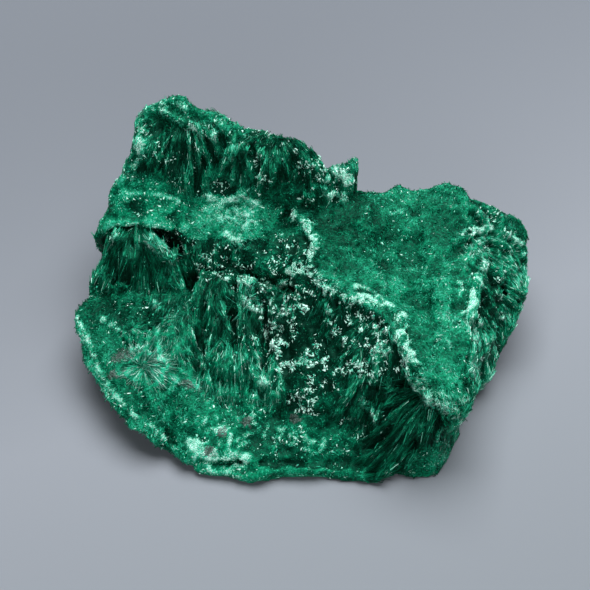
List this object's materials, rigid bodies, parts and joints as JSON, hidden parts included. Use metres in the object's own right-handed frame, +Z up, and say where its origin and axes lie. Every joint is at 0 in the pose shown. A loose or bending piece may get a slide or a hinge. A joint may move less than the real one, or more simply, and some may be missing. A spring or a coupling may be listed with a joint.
{
  "type": "malachite specimen",
  "caption": "Broken mass of fibrous green malachite, with a high block at the back, a broad sloping face and a flat base to rest on.",
  "frame": {"origin": "centre of the bounding box on the plane that the specimen rests on", "axes": "+Z up; +X along the longest side, towards the broad sloping face; +Y towards the high back block"},
  "size_m": [0.0768, 0.06, 0.0344],
  "materials": {
    "malachite": "silky broken bundles of needle crystals, deep green with pale mint bruised edges"
  },
  "bodies": {
    "root": {"malachite": "malachite"}
  },
  "joints": []
}
